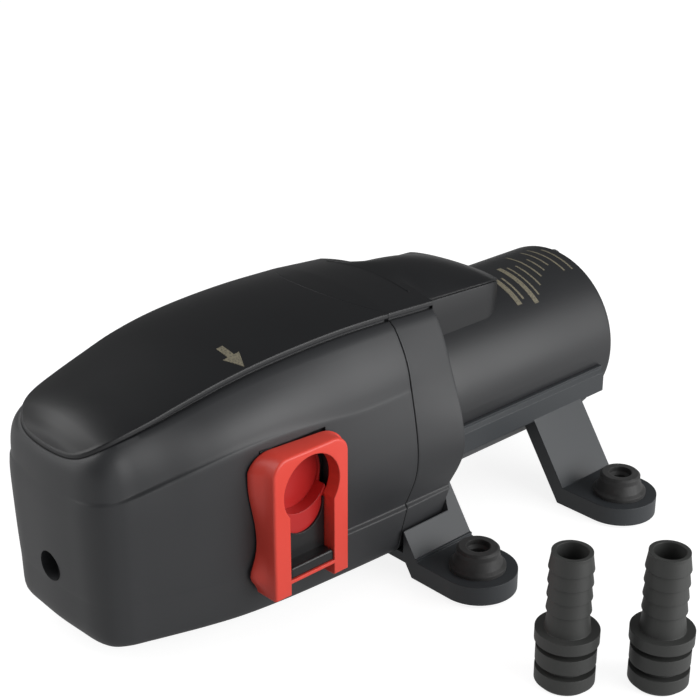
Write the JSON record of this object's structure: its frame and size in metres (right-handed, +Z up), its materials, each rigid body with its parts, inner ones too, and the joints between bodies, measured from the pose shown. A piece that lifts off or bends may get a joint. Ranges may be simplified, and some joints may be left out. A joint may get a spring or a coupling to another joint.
{
  "type": "self-priming diaphragm water pump",
  "caption": "Electric diaphragm water pump: motor in a cradle, moulded pump head with sliding red port clips, rubber-mounted feet and loose hose tails.",
  "frame": {"origin": "centre of the rectangle of four fixing holes, on the surface the pump stands on", "axes": "+X across the pump towards the outlet port, +Y along the motor away from the pump head's nose, +Z up from the mounting surface"},
  "size_m": [0.2399, 0.2487, 0.0995],
  "materials": {
    "shell_black": "satin",
    "cover_black": "satin",
    "bracket_black": "satin",
    "rubber": "matte",
    "clip_red": "satin",
    "plug_red": "satin",
    "motor_paint": "satin",
    "zinc_steel": "satin",
    "bearing_steel": "polished",
    "lamination_steel": "satin",
    "ferrite": "matte",
    "end_casting": "as cast",
    "brush_board": "matte",
    "brush_carbon": "matte",
    "spring_steel": "satin",
    "copper": "turned",
    "moulding": "satin",
    "valve_rubber": "matte",
    "switch_plastic": "matte",
    "acetal": "satin",
    "brass": "turned",
    "tail_plastic": "satin",
    "moulding_black": "satin"
  },
  "bodies": {
    "pump": {"head_shell": "shell_black", "front_cover": "cover_black", "rear_cover": "cover_black", "collar": "shell_black", "front_bracket": "bracket_black", "motor_cradle": "bracket_black", "motor_can": "motor_paint", "motor_end_plate": "end_casting", "front_bearing": "bearing_steel", "rear_bearing": "bearing_steel", "magnets": "ferrite", "motor_bolts": "zinc_steel", "brush_plate": "brush_board", "brushes": "brush_carbon", "brush_springs": "spring_steel", "drive_housing": "moulding", "diaphragm": "valve_rubber", "valve_plate": "moulding", "inlet_valves": "valve_rubber", "outlet_valve": "valve_rubber", "valve_head": "moulding", "housing_bolts": "zinc_steel", "switch_body": "switch_plastic", "switch_spring": "spring_steel", "outlet_port_frame": "moulding_black", "inlet_port_frame": "moulding_black", "outlet_plug": "plug_red", "inlet_plug": "plug_red", "outlet_plug_seals": "valve_rubber", "inlet_plug_seals": "valve_rubber", "grommet_front_left": "rubber", "grommet_front_right": "rubber", "grommet_rear_left": "rubber", "grommet_rear_right": "rubber", "base_screws": "zinc_steel", "lead_gland": "rubber"},
    "rotor": {"shaft": "bearing_steel", "armature": "lamination_steel", "commutator": "copper", "eccentric": "zinc_steel"},
    "wobble": {"wobble_bearing": "bearing_steel", "wobble_plate": "moulding", "pistons": "moulding"},
    "outlet_clip": {"outlet_clip": "clip_red"},
    "inlet_clip": {"inlet_clip": "clip_red"},
    "switch_plunger": {"switch_plunger": "acetal"},
    "adjust_screw": {"adjust_screw": "brass"},
    "hose_tail_a": {"hose_tail_a": "tail_plastic"},
    "hose_tail_b": {"hose_tail_b": "tail_plastic"}
  },
  "joints": [
    {"name": "rotor_spin", "type": "hinge", "parent": "pump", "child": "rotor", "pos_m": [0, 0, 0.0465], "axis": [0, 1, 0], "continuous": true},
    {"name": "wobble_turn", "type": "hinge", "parent": "rotor", "child": "wobble", "pos_m": [0, -0.06, 0.0465], "axis": [0, 0.9986, 0.0523], "continuous": true},
    {"name": "outlet_clip_slide", "type": "slide", "parent": "pump", "child": "outlet_clip", "axis": [0, 0, -1], "range_m": [0, 0.0095]},
    {"name": "inlet_clip_slide", "type": "slide", "parent": "pump", "child": "inlet_clip", "axis": [0, 0, -1], "range_m": [0, 0.0095]},
    {"name": "switch_plunger_slide", "type": "slide", "parent": "pump", "child": "switch_plunger", "axis": [0, -1, 0], "range_m": [0, 0.001], "stiffness_N_per_m": 1500, "deforming": ["switch_spring"]},
    {"name": "adjust_screw_turn", "type": "hinge", "parent": "pump", "child": "adjust_screw", "pos_m": [0, -0.1525, 0.032], "axis": [0, 1, 0], "range_deg": [-540, 540]},
    {"name": "tail_a_lift", "type": "slide", "parent": "pump", "child": "hose_tail_a", "axis": [0, 0, 1], "range_m": [0, 0.12]},
    {"name": "tail_b_lift", "type": "slide", "parent": "pump", "child": "hose_tail_b", "axis": [0, 0, 1], "range_m": [0, 0.12]}
  ],
  "couplings": [
    {"joint": "wobble_turn", "follows": "rotor_spin", "ratio": -1}
  ]
}
